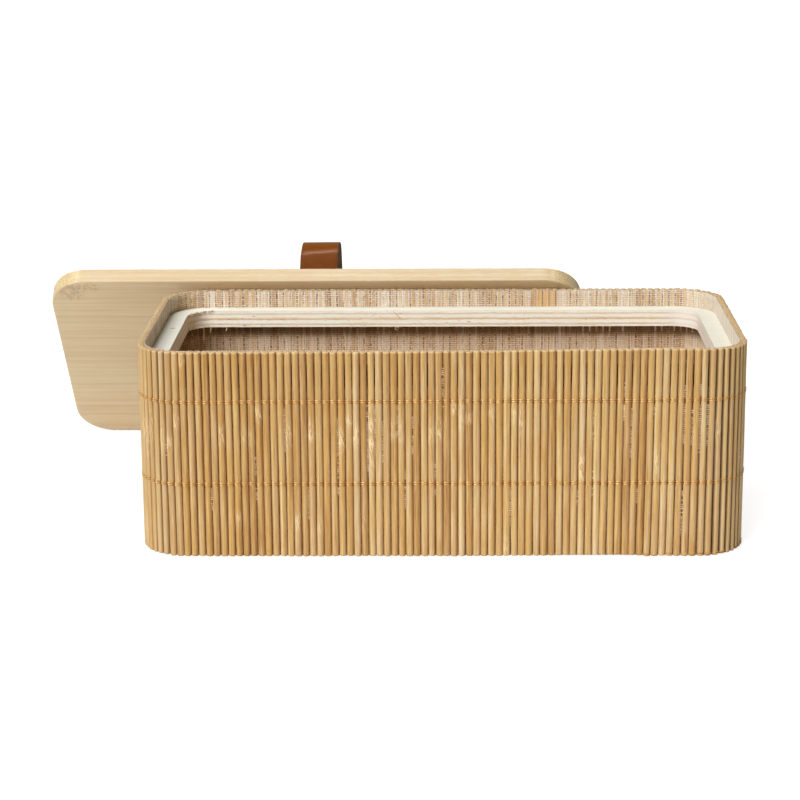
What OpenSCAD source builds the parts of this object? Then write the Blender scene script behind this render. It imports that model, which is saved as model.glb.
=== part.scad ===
// Lidded storage box with a wall of stitched bamboo sticks.
//
// Frame: the origin is the middle of the base, on the table. +X runs along the
// box, +Y to its back and +Z up. The lid is taken off and leans on the back rim,
// its underside towards the box and its back edge on the table.

/* [Box] */
// Length over the sticks
box_l = 260; // [220:5:320]
// Depth over the sticks, front to back
box_w = 130; // [110:5:170]
// Height of the sticks, which is the height of the rim
box_h = 90; // [75:5:110]
// Radius of the wall's vertical corners, over the sticks
corner_r = 21.8; // [18:0.2:30]

/* [Bamboo mat] */
// Diameter of one stick
stick_d = 2.7; // [2.4:0.05:2.9]
// Distance from stick to stick, fitted to a whole number of sticks
stick_pitch = 3.17; // [3:0.01:3.4]
// Chamfer on both ends of a stick
stick_chamfer = 0.3; // [0.1:0.05:0.5]
// Place of the seam on the back wall, where the ends of the mat meet
seam_x = 55; // [-80:1:80]
// Extra space between the two sticks at the seam
seam_gap = 0.7; // [0.3:0.1:1.5]

/* [Stitching] */
// Height of the upper row of stitches
upper_row_z = 68.6; // [55:0.1:72]
// Height of the lower row of stitches
lower_row_z = 32.6; // [10:0.1:45]
// Thickness of one strand of thread
strand_t = 0.4; // [0.35:0.05:0.6]
// Height of one strand of thread
strand_h = 0.6; // [0.4:0.05:0.7]
// Distance between the two strands of a row, middle to middle
strand_pitch = 0.85; // [0.75:0.05:1.2]
// Space between a strand and the stick under it
strand_slack = 0.02; // [0.01:0.01:0.04]

/* [Lining] */
// Thickness of the cloth that is glued to the back of the mat
lining_t = 0.35; // [0.2:0.05:0.6]
// Glue line between the sticks and the cloth
glue_gap = 0.05; // [0.03:0.01:0.1]
// How far the cloth ends below the rim
lining_drop = 0.4; // [0.2:0.1:1]

/* [Ledge ring] */
// Depth of the ring's top below the rim
ledge_depth = 8.2; // [6:0.2:12]
// Thickness of the plywood ring
ledge_t = 7.8; // [5:0.2:10]
// Width of the ledge that the lid lies on
ledge_w = 8; // [6:0.2:14]
// Radius of the ring's inner corners
ledge_inner_r = 11.5; // [6:0.5:16]

/* [Base panel] */
// Thickness of the base panel
base_t = 4; // [3:0.5:8]
// Glue line round the base panel and the ledge ring
panel_fit = 0.1; // [0.05:0.05:0.3]

/* [Lid] */
// Thickness of the bamboo board
lid_t = 7.7; // [6:0.1:10]
// Space between the lid and the wall, all round, when the lid is on
lid_fit = 0.4; // [0.3:0.1:1]
// Radius of the rounded edges of the board
lid_edge_r = 0.5; // [0.3:0.1:2]
// How far the leaning lid reaches past the rim that it leans on
lid_overhang = 5.6; // [2:0.1:15]
// Place of the middle of the leaning lid along the box
lid_x = -60.5; // [-80:0.5:80]
// Space between the leaning lid and the rim
lean_gap = 0.3; // [0.2:0.05:0.5]

/* [Strap] */
// Width of the leather strap
strap_w = 19; // [14:0.2:26]
// Thickness of the leather
strap_t = 2; // [1.5:0.1:3]
// Height of the loop above the lid
strap_h = 63; // [45:1:75]
// Width of the loop over the leather
loop_w = 28; // [24:1:36]
// Outer radius of the bends at the foot of the loop
foot_r = 3.5; // [3.2:0.1:5]
// Space between the two ends of the strap
strap_end_gap = 1; // [0.5:0.1:2]

/* [Strap screws] */
// Diameter of a screw's head
head_d = 5; // [4:0.2:6]
// Height of a screw's head
head_t = 1.4; // [1:0.1:2]
// Diameter of a screw's shank
shank_d = 2; // [1.6:0.1:2.4]
// Depth that the shank reaches into the lid
shank_depth = 4.5; // [3:0.5:5]
// Space round the shank
shank_fit = 0.05; // [0.03:0.01:0.1]

/* [Hidden] */

$fn = 48;
// A hair of extra length, so that a cut passes through the face it starts from
through = 0.5;

// The line through the middles of the sticks: straight runs and corner arcs
line_r = corner_r - stick_d / 2;
half_run_x = box_l / 2 - corner_r;
half_run_y = box_w / 2 - corner_r;
run_x = 2 * half_run_x;
run_y = 2 * half_run_y;
arc = line_r * PI / 2;
// Length along that line where each of its eight sections starts: front run, front right
// corner, right run and so on, anticlockwise from above, and the whole length last
section_start = [0, run_x, run_x + arc, run_x + arc + run_y, run_x + 2 * arc + run_y,
                 2 * run_x + 2 * arc + run_y, 2 * run_x + 3 * arc + run_y,
                 2 * run_x + 3 * arc + 2 * run_y, 2 * run_x + 4 * arc + 2 * run_y];
perimeter = section_start[8];
corner_centres = [[half_run_x, -half_run_y], [half_run_x, half_run_y],
                  [-half_run_x, half_run_y], [-half_run_x, -half_run_y]];

stick_count = round((perimeter - seam_gap) / stick_pitch);
pitch = (perimeter - seam_gap) / stick_count;
seam_s = section_start[4] + half_run_x - seam_x;

// Inside of the wall: how deep each layer starts below the outer face of the sticks
lining_in = stick_d + glue_gap;
wall_t = lining_in + lining_t;
panel_in = wall_t + panel_fit;
lid_in = wall_t + lid_fit;

lid_l = box_l - 2 * lid_in;
lid_w = box_w - 2 * lid_in;
lid_r = corner_r - lid_in;

// The lid turns about X by lid_tilt, until its rounded back edge stands on the table
// while its underside passes the rim
lid_reach = lid_w - lid_edge_r - lid_overhang;
lid_tilt = atan(lid_edge_r / lid_reach)
    + asin((box_h - lid_edge_r) / norm([lid_reach, lid_edge_r]));
lid_mid_z = (lid_w / 2 - lid_edge_r) * sin(lid_tilt) + lid_edge_r * (1 - cos(lid_tilt));
lid_mid_y = box_w / 2 + lean_gap / sin(lid_tilt) - (lid_mid_z - box_h) / tan(lid_tilt);

// The strap's ends are turned in under the loop, with one screw through each
screw_y = (loop_w / 2 + strap_end_gap / 2) / 2;

function place_s(i) = (seam_s + seam_gap / 2 + (i + 0.5) * pitch) % perimeter;

// Number, from 0 to 7, of the section that holds length s
function section_of(s) = len([for (k = [1:7]) if (s >= section_start[k]) k]);

// Middle of a stick at length s along the line
function spot(s) =
    let (k = section_of(s), side = floor(k / 2), t = s - section_start[k], turn = 90 * side)
    k % 2 == 0
        ? corner_centres[(side + 3) % 4] + line_r * [sin(turn), -cos(turn)]
            + t * [cos(turn), sin(turn)]
        : let (a = turn - 90 + t / line_r * 180 / PI)
            corner_centres[side] + line_r * [cos(a), sin(a)];

// Rectangle with rounded corners, centred
module rounded_rect(l, w, r) {
    square([l - 2 * r, w], center = true);
    square([l, w - 2 * r], center = true);
    for (x = [-1, 1], y = [-1, 1])
        translate([x * (l / 2 - r), y * (w / 2 - r)])
            circle(r);
}

// The wall's outline at a depth below the outer face of the sticks
module wall_outline(depth) {
    rounded_rect(box_l - 2 * depth, box_w - 2 * depth, corner_r - depth);
}

module stick() {
    r = stick_d / 2;
    c = stick_chamfer;
    rotate_extrude($fn = 24)
        polygon([[0, 0], [r - c, 0], [r, c], [r, box_h - c], [r - c, box_h], [0, box_h]]);
}

// All sticks of one section of the wall
module sticks(section) {
    color("burlywood")
    for (i = [0:stick_count - 1])
        if (section_of(place_s(i)) == section)
            translate(spot(place_s(i)))
                stick();
}

// One strand seen from above: it bends round the front of each stick and dips
// into the gap after it
module strand_outline() {
    difference() {
        for (i = [0:stick_count - 1])
            translate(spot(place_s(i)))
                circle(stick_d / 2 + strand_t, $fn = 24);
        for (i = [0:stick_count - 1])
            translate(spot(place_s(i)))
                circle(stick_d / 2 + strand_slack, $fn = 24);
        wall_outline(stick_d / 2);
    }
}

// A row of stitches: two strands, one above the other
module stitching(row_z) {
    color("darkorange")
    for (side = [-1, 1])
        translate([0, 0, row_z + side * strand_pitch / 2 - strand_h / 2])
            linear_extrude(strand_h)
                strand_outline();
}

module lining_cloth() {
    color("rosybrown")
    linear_extrude(box_h - lining_drop)
        difference() {
            wall_outline(lining_in);
            wall_outline(wall_t);
        }
}

module ledge_ring() {
    inner_l = box_l - 2 * (panel_in + ledge_w);
    inner_w = box_w - 2 * (panel_in + ledge_w);
    color("cornsilk")
    translate([0, 0, box_h - ledge_depth - ledge_t])
        linear_extrude(ledge_t)
            difference() {
                wall_outline(panel_in);
                rounded_rect(inner_l, inner_w, ledge_inner_r);
            }
}

module base_panel() {
    color("wheat")
    linear_extrude(base_t)
        wall_outline(panel_in);
}

// Section of the board's rim, from the corner's middle out to the rounded edge
module board_rim() {
    e = lid_edge_r;
    square([lid_r - e, lid_t]);
    translate([0, e])
        square([lid_r, lid_t - 2 * e]);
    for (y = [e, lid_t - e])
        translate([lid_r - e, y])
            circle(e, $fn = 24);
}

// Straight rim of the board along +X, with its rounded edge towards -Y
module board_side(length) {
    rotate([90, 0, -90])
        translate([0, 0, -length / 2])
            linear_extrude(length)
                board_rim();
}

// Puts what is drawn on the closed lid, underside at 0, onto the leaning lid
module on_leaning_lid() {
    translate([lid_x, lid_mid_y, lid_mid_z])
        rotate([-lid_tilt, 0, 0])
            children();
}

module screw_places() {
    for (y = [-screw_y, screw_y])
        translate([0, y, 0])
            children();
}

module lid_board() {
    x = lid_l / 2 - lid_r;
    y = lid_w / 2 - lid_r;
    color("navajowhite")
    on_leaning_lid()
        difference() {
            union() {
                translate([-x, -y, 0])
                    cube([2 * x, 2 * y, lid_t]);
                for (a = [0, 180])
                    rotate(a) {
                        translate([0, -y, 0])
                            board_side(2 * x);
                        translate([x, 0, 0])
                            rotate(90)
                                board_side(2 * y);
                        translate([x, -y, 0])
                            rotate([0, 0, -90])
                                rotate_extrude(angle = 90)
                                    board_rim();
                        translate([x, y, 0])
                            rotate_extrude(angle = 90)
                                board_rim();
                    }
            }
            screw_places()
                translate([0, 0, lid_t - shank_depth])
                    cylinder(d = shank_d + 2 * shank_fit, h = shank_depth + through);
        }
}

// The strap's loop seen from its end: Y across the lid and Z up from it
module loop_outline(depth) {
    r = loop_w / 2 - depth;
    bend = foot_r - depth;
    translate([0, strap_h - loop_w / 2])
        circle(r);
    translate([-r, depth + bend])
        square([2 * r, strap_h - loop_w / 2 - depth - bend]);
    translate([-r + bend, depth])
        square([2 * (r - bend), bend + through]);
    for (x = [-1, 1])
        translate([x * (r - bend), depth + bend])
            circle(bend, $fn = 24);
}

module leather_strap() {
    color("saddlebrown")
    on_leaning_lid()
        translate([0, 0, lid_t])
            difference() {
                rotate([90, 0, 90])
                    translate([0, 0, -strap_w / 2])
                        linear_extrude(strap_w)
                            difference() {
                                loop_outline(0);
                                loop_outline(strap_t);
                                translate([-strap_end_gap / 2, -through])
                                    square([strap_end_gap, strap_t + 2 * through]);
                            }
                screw_places()
                    translate([0, 0, -through])
                        cylinder(d = shank_d + 2 * shank_fit, h = strap_t + 2 * through);
            }
}

module strap_screws() {
    tip = shank_d / 2;
    color("goldenrod")
    on_leaning_lid()
        screw_places()
            translate([0, 0, lid_t - shank_depth])
                rotate_extrude()
                    polygon([[0, 0.1], [tip / 2, 0.1], [tip, tip], [tip, shank_depth + strap_t],
                             [head_d / 2, shank_depth + strap_t],
                             [head_d / 2, shank_depth + strap_t + head_t / 2],
                             [head_d / 4, shank_depth + strap_t + head_t],
                             [0, shank_depth + strap_t + head_t]]);
}

sticks(0);  // front_sticks
sticks(1);  // front_right_sticks
sticks(2);  // right_sticks
sticks(3);  // back_right_sticks
sticks(4);  // back_sticks
sticks(5);  // back_left_sticks
sticks(6);  // left_sticks
sticks(7);  // front_left_sticks
stitching(upper_row_z);  // upper_stitching
stitching(lower_row_z);  // lower_stitching
lining_cloth();
ledge_ring();
base_panel();
lid_board();
leather_strap();
strap_screws();
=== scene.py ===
"""Looks of the stick box: its mat of stitched bamboo sticks with a glued gauze lining, the plywood
ring and base inside, and the bamboo lid with a leather loop that leans on the back rim."""

import math

import bpy
import numpy as np
from mathutils import Matrix, Vector


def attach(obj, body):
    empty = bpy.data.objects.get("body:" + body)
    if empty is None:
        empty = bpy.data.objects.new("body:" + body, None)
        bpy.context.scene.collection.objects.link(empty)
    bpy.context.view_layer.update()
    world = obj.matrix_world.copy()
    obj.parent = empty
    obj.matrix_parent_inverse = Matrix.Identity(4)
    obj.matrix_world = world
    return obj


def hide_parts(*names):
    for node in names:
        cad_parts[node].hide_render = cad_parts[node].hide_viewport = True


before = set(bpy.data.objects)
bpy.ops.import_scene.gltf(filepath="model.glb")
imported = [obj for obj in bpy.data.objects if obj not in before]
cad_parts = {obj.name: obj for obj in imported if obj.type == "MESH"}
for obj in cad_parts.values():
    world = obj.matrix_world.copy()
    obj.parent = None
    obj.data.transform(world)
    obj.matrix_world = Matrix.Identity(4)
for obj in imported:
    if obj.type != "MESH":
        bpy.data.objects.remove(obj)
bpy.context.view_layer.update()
scene = bpy.context.scene

MM = 0.001
TURN = 2 * math.pi
UP = np.array([0.0, 0.0, 1.0])

# ---- sizes of the solids, in mm

BOX_L, BOX_W, BOX_H, CORNER_R = 260.0, 130.0, 90.0, 21.8
STICK_R, STICK_PITCH, SEAM_X, SEAM_GAP = 1.35, 3.17, 55.0, 0.7
UPPER_ROW, LOWER_ROW, STRAND_PITCH = 68.6, 32.6, 0.85
LINING_IN, WALL_T, LINING_DROP = 2.75, 3.1, 0.4
RING_TOP, RING_T = 81.8, 7.8
LID_T, LID_EDGE, LID_X, LID_OVERHANG, LEAN_GAP = 7.7, 0.5, -60.5, 5.6, 0.3
STRAP_W, STRAP_T, STRAP_H, LOOP_W, FOOT_R, END_GAP = 19.0, 2.0, 63.0, 28.0, 3.5, 1.0
HEAD_D, HEAD_T, SHANK_D, SHANK_DEPTH = 5.0, 1.4, 2.0, 4.5
# The threads of the gauze
WEFT_PITCH, WARP_PITCH = 0.92, 0.79

# The line through the middles of the sticks, in eight sections, anticlockwise from above
LINE_R = CORNER_R - STICK_R
HALF_X, HALF_Y = BOX_L / 2 - CORNER_R, BOX_W / 2 - CORNER_R
ARC = LINE_R * math.pi / 2
STARTS = np.cumsum([0] + [2 * HALF_X, ARC, 2 * HALF_Y, ARC] * 2)
PERIMETER = STARTS[8]
CENTRES = np.array([[HALF_X, -HALF_Y], [HALF_X, HALF_Y], [-HALF_X, HALF_Y], [-HALF_X, -HALF_Y]])
STICKS = round((PERIMETER - SEAM_GAP) / STICK_PITCH)
PITCH = (PERIMETER - SEAM_GAP) / STICKS
SEAM_S = STARTS[4] + HALF_X - SEAM_X
SECTIONS = ["front", "front_right", "right", "back_right", "back", "back_left", "left", "front_left"]

# The leaning lid's frame: X along it, Z from its underside to the strap
LID_IN = WALL_T + 0.4
LID_W = BOX_W - 2 * LID_IN
REACH = LID_W - LID_EDGE - LID_OVERHANG
TILT = math.atan(LID_EDGE / REACH) + math.asin((BOX_H - LID_EDGE) / math.hypot(REACH, LID_EDGE))
LID_Z = (LID_W / 2 - LID_EDGE) * math.sin(TILT) + LID_EDGE * (1 - math.cos(TILT))
LID_Y = BOX_W / 2 + LEAN_GAP / math.sin(TILT) - (LID_Z - BOX_H) / math.tan(TILT)
LID_MATRIX = Matrix.Translation((LID_X, LID_Y, LID_Z)) @ Matrix.Rotation(-TILT, 4, "X")


def on_lid(points):
    """Points of the lid's own frame, as they lie in the box's."""
    return points @ np.array(LID_MATRIX.to_3x3()).T + np.array(LID_MATRIX.translation)


def on_line(s, out=0.0):
    """Places at lengths s along the sticks' line, moved outwards, and the directions out and ahead."""
    s = np.asarray(s, float) % PERIMETER
    k = np.searchsorted(STARTS[1:8], s, side="right")
    t, turn = s - STARTS[k], np.radians(90.0 * (k // 2)) - math.pi / 2
    straight = k % 2 == 0
    angle = np.where(straight, turn, turn + t / LINE_R)
    centre = np.where(straight[..., None], CENTRES[(k // 2 + 3) % 4], CENTRES[k // 2])
    normal = np.stack([np.cos(angle), np.sin(angle)], -1)
    ahead = np.stack([-np.sin(angle), np.cos(angle)], -1)
    run = np.where(straight, t, 0.0)[..., None]
    return centre + (LINE_R + np.asarray(out))[..., None] * normal + run * ahead, normal, ahead


PLACES = (SEAM_S + SEAM_GAP / 2 + (np.arange(STICKS) + 0.5) * PITCH) % PERIMETER
SECTION_OF = np.searchsorted(STARTS[1:8], PLACES, side="right")

# ---- meshes


def unit(vectors):
    return vectors / np.linalg.norm(vectors, axis=1)[:, None]


class Shape:
    """Gathers one mesh in mm, made of tubes whose points are stored ring by ring."""

    def __init__(self):
        self.points, self.faces, self.values, self.size = [], [], {}, 0

    def tube(self, rings, tips=None, closed=False, flip=False, **values):
        """Adds a tube, which may end in two tips or close on itself, and values at its points."""
        rows, columns = rings.shape[:2]
        i, j = np.arange(rows if closed else rows - 1)[:, None], np.arange(columns)
        here, there, beside = i * columns, (i + 1) % rows * columns, (j + 1) % columns
        quads = np.broadcast_arrays(here + j, here + beside, there + beside, there + j)
        faces = (np.stack([q.ravel() for q in quads], -1) + self.size).tolist()
        values = {k: np.broadcast_to(v, (rows, columns)).ravel() for k, v in values.items()}
        points = rings.reshape(-1, 3)
        if tips is not None:
            first, last, low = (self.size + n * columns for n in (0, rows - 1, rows))
            for k, k1 in zip(j.tolist(), beside.tolist()):
                faces += [(first + k1, first + k, low), (last + k, last + k1, low + 1)]
            points = np.concatenate([points, tips])
            values = {k: np.append(v, v[[0, -columns]]) for k, v in values.items()}
        self.faces += [face[::-1] for face in faces] if flip else faces
        self.points.append(points)
        self.size += len(points)
        for k, v in values.items():
            self.values.setdefault(k, []).append(v)

    def make(self, name, material, body, slot, *nodes):
        """The mesh as an object that rides on a body and stands for CAD nodes."""
        mesh = bpy.data.meshes.new(name)
        mesh.from_pydata((np.concatenate(self.points) * MM).tolist(), [], self.faces)
        for key, parts in self.values.items():
            data = mesh.attributes.new(key, "FLOAT", "POINT").data
            data.foreach_set("value", np.concatenate(parts).astype(np.float32))
        mesh.polygons.foreach_set("use_smooth", [True] * len(mesh.polygons))
        mesh.validate()
        mesh.materials.append(material)
        made = bpy.data.objects.new(name, mesh)
        scene.collection.objects.link(made)
        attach(made, body)
        if nodes:
            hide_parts(*nodes)
        return made


# ---- nodes


def rgb(r, g, b):
    """A colour as it is seen, 0 to 255, as Blender's linear RGBA."""
    return tuple(
        c / 12.92 if c <= 0.04045 else ((c + 0.055) / 1.055) ** 2.4
        for c in (r / 255, g / 255, b / 255)
    ) + (1.0,)


def maths(operation):
    """A method of Signal that adds a Math node."""
    return lambda self, *other: self.nodes.math(operation, self, *other)


class Signal:
    """The output of a node. Sums and products of it add Math nodes."""

    def __init__(self, nodes, socket):
        self.nodes, self.socket = nodes, socket

    def __rsub__(self, other):
        return self.nodes.math("SUBTRACT", other, self)

    __add__, __sub__, __mul__ = maths("ADD"), maths("SUBTRACT"), maths("MULTIPLY")
    __truediv__, __pow__, __abs__ = maths("DIVIDE"), maths("POWER"), maths("ABSOLUTE")


class Nodes:
    """Builds a material or a world: most calls add a node and give its output."""

    def __init__(self, name, owner=None):
        self.owner = owner or bpy.data.materials.new(name)
        self.owner.use_nodes = True
        self.tree = self.owner.node_tree
        self.tree.nodes.clear()
        self.colour = None

    def add(self, kind, inputs=(), out=0, **settings):
        node = self.tree.nodes.new("ShaderNode" + kind)
        for key, value in settings.items():
            setattr(node, key, value)
        for key, value in dict(inputs).items():
            if isinstance(value, Signal):
                self.tree.links.new(value.socket, node.inputs[key])
            elif value is not None:
                node.inputs[key].default_value = value
        return Signal(self, node.outputs[out]) if node.outputs else None

    def values(self, *keys):
        """The mesh's own values."""
        return [self.add("Attribute", out="Fac", attribute_name=key) for key in keys]

    def place(self):
        """Object coordinates in mm."""
        spot = self.add("TexCoord", out="Object")
        return self.add("VectorMath", {0: spot, 3: 1 / MM}, operation="SCALE")

    def facing(self):
        """The surface's own direction, as three numbers."""
        return self.split(self.add("NewGeometry", out="True Normal"))

    def split(self, vector):
        first = self.add("SeparateXYZ", {0: vector})
        return [Signal(self, output) for output in first.socket.node.outputs]

    def join(self, x, y, z):
        return self.add("CombineXYZ", {0: x, 1: y, 2: z})

    def math(self, operation, a, b=None, c=None, clamp=False):
        return self.add("Math", {0: a, 1: b, 2: c}, operation=operation, use_clamp=clamp)

    def most(self, a, b):
        return self.math("MAXIMUM", a, b)

    def span(self, value, low, high, to_low=0.0, to_high=1.0, smooth=True):
        """value taken from low..high to to_low..to_high, held at both ends."""
        return self.add(
            "MapRange",
            {0: value, 1: low, 2: high, 3: to_low, 4: to_high},
            interpolation_type="SMOOTHSTEP" if smooth else "LINEAR",
        )

    def noise(self, vector, scale, detail, w=None, rough=0.5, distortion=0.0):
        inputs = {"Vector": vector, "W": w, "Scale": scale, "Detail": detail}
        inputs.update(Roughness=rough, Distortion=distortion)
        return self.add("TexNoise", inputs, noise_dimensions="3D" if w is None else "4D")

    def pick(self, number):
        """A number between 0 and 1 of its own for each whole number."""
        return self.add("TexWhiteNoise", {"W": number}, noise_dimensions="1D")

    def mix(self, share, a, b, blend="MIX"):
        a, b = (rgb(*c) if isinstance(c, tuple) else c for c in (a, b))
        return self.add("Mix", {0: share, 6: a, 7: b}, out=2, data_type="RGBA", blend_type=blend)

    def ramp(self, value, *stops):
        """Colours along a value: each stop is its place and red, green and blue."""
        made = self.add("ValToRGB", {0: value})
        ramp = made.socket.node.color_ramp
        for i, (at, *colour) in enumerate(stops):
            element = ramp.elements[i] if i < 2 else ramp.elements.new(at)
            element.position, element.color = at, rgb(*colour)
        return made

    def coat(self, share, colour):
        """Covers a share of the colour so far with another."""
        self.colour = self.mix(share, self.colour, colour)

    def tint(self, colour, share=1.0):
        """Filters the colour so far by another."""
        self.colour = self.mix(share, self.colour, colour, "MULTIPLY")

    def bump(self, height, depth_mm, strength=1.0):
        return self.add("Bump", {"Height": height, "Distance": depth_mm * MM, "Strength": strength})

    def finish(self, roughness, bump, shine=0.5, **sockets):
        """The material, from the colour so far; shine is its Specular IOR Level."""
        inputs = {key.replace("_", " "): value for key, value in sockets.items()}
        inputs.update({"Base Color": self.colour, "Roughness": roughness, "Normal": bump})
        inputs["Specular IOR Level"] = shine
        self.add("OutputMaterial", {0: self.add("BsdfPrincipled", inputs)})
        return self.owner


# ---- materials


def stick_bamboo():
    """Split bamboo: fibres along the stick, a tone of its own for each, pale flames at the nodes."""
    m = Nodes("stick_bamboo")
    x, y, z = m.split(m.place())
    tone, seed, scar, reach = m.values("tone", "seed", "scar", "reach")
    force, around, top = m.values("force", "around", "top")
    fine = m.noise(m.join(x, y, z * 0.03), 2.6, 3.0, w=seed, rough=0.6)
    streak = m.noise(m.join(x, y, z * 0.02), 1.2, 2.0, w=seed)
    mottle = m.noise(m.join(x, y, z * 0.25), 0.3, 3.0, w=seed)
    level = tone + (streak - 0.5) * 1.3 + (fine - 0.5) * 1.4
    level = m.math("ADD", level, (mottle - 0.5) * 0.45, clamp=True)
    m.colour = m.ramp(
        level, (0.0, 166, 120, 65), (0.35, 195, 156, 101), (0.65, 208, 177, 127), (1.0, 224, 204, 166)
    )
    # Their hue wanders from golden to a greyish pink, from stick to stick and fibre to fibre
    hue = m.noise(m.join(x, y, z * 0.03), 1.1, 1.0, w=seed + 57.0)
    m.tint(m.ramp((m.pick(seed) - 0.5) * 0.14 + hue, (0.36, 255, 247, 217), (0.64, 251, 249, 255)))
    # The split sides are paler than the skin, and this also paints light into the shade between the
    # sticks
    flank = m.span(abs(around), 0.9, 1.45, 0.0, 0.64)
    m.coat(flank * m.span(abs(x), 110.0, 121.0, 1.0, 0.1), (232, 196, 148))
    # Round the front's right corner painted light pales the skin and painted shade darkens it deep
    # between two sticks; the left corner is greyer
    turning = m.span(x, 106.0, 118.0) * m.span(y, -42.0, -50.0)
    m.coat(turning * 0.25, (226, 192, 142))
    m.coat(m.span(x, -108.0, -119.0, 0.0, 0.3), (182, 157, 120))
    m.coat(m.span(abs(around), 0.55, 1.1) * turning * 0.75, (100, 64, 32))
    # Painted shade deep between the sticks of the left corner
    left_gap_shade = m.span(x, -112.0, -120.0) * m.span(abs(around), 0.75, 1.15)
    m.coat(left_gap_shade * 0.5, (140, 96, 54))
    # Painted shade darkens them towards the rim
    m.tint((243, 240, 232), m.span(z, 12.0, 84.0, smooth=False))
    # Where a node of the culm was cut through, its fibres cross in pale slanting streaks
    away = z - scar
    near = m.span(abs(away) / reach, 0.2, 1.25, 1.0, 0.0) * force
    lines = []
    for slant, salt in ((0.22, 3.0), (-0.2, 71.0)):
        beside = away * slant + around * STICK_R
        lines.append(m.noise(m.join(beside, seed + salt, away * 0.12), 1.9, 1.0))
    glow = m.noise(m.join(x, y, z * 0.085), 1.7, 2.0, w=seed, distortion=0.7)
    pale = m.most(*(m.span(line, 0.54, 0.64) for line in lines))
    pale = m.most(pale, m.span(glow, 0.4, 0.64, 0.0, 0.4)) * near
    m.coat(pale * 0.75, (242, 220, 176))
    m.coat(m.span(lines[0], 0.42, 0.36) * near * 0.45, (160, 112, 62))
    # A painted highlight pales each stick just below its top. Cut ends: raw end grain with pale fibre
    # tips
    m.coat(m.span(z - top, -0.75, -0.25, 0.0, 0.4), (232, 204, 154))
    end = m.most(m.span(z, 0.0, 0.3, 1.0, 0.0), m.span(m.facing()[2], 0.45, 0.85))
    grain = m.noise(m.join(x, y, 0.0), 1.7, 3.0, w=seed, rough=0.65)
    raw = m.ramp(grain, (0.36, 118, 86, 46), (0.46, 196, 162, 112), (0.62, 234, 212, 172))
    # Painted shade darkens the end grain on the left and right walls
    for side, filtered in ((1.0, (238, 232, 218)), (-1.0, (231, 228, 230))):
        raw = m.mix(m.span(x * side, 116.0, 122.0), raw, filtered, "MULTIPLY")
    m.coat(end * 0.8, raw)
    rough = m.span(fine, 0.3, 0.7, 0.62, 0.48, smooth=False)
    return m.finish(rough, m.bump(fine + pale * 0.3, 0.05, 0.8), 0.3)


def stitch_thread():
    """Waxed two-ply thread: pale orange over the sticks, orange brown where it dives and knots, darkened
    there partly by painted shade.
    """
    m = Nodes("stitch_thread")
    x, y, z = m.split(m.place())
    knot, along, lift, side = m.values("knot", "along", "lift", "side")
    fibre = m.noise(m.join(along * 0.6, z * 5.0, lift), 2.2, 3.0)
    batch = m.noise(m.join(along, z, 0.0), 0.3, 1.0)
    m.colour = m.ramp(fibre, (0.3, 210, 162, 98), (0.5, 240, 206, 150), (0.72, 252, 230, 184))
    m.coat(m.span(batch, 0.35, 0.65, 0.0, 0.35), (220, 172, 102))
    # Painted light and shade: each stitch is pale where it comes out of one gap and browner towards the
    # next
    m.coat(m.span((fibre - 0.5) * 1.2 + side, -0.45, 0.2) * 0.85, (186, 131, 66))
    m.coat(m.span(x, 110.0, 119.0, 0.0, 0.6), (200, 150, 86))
    # Knots are dark brown: partly the thread's own colour, partly painted shade in the gaps
    m.coat(knot * 0.97, (122, 74, 6))
    return m.finish(0.65, m.bump(fibre, 0.04, 0.8), 0.1)


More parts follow.
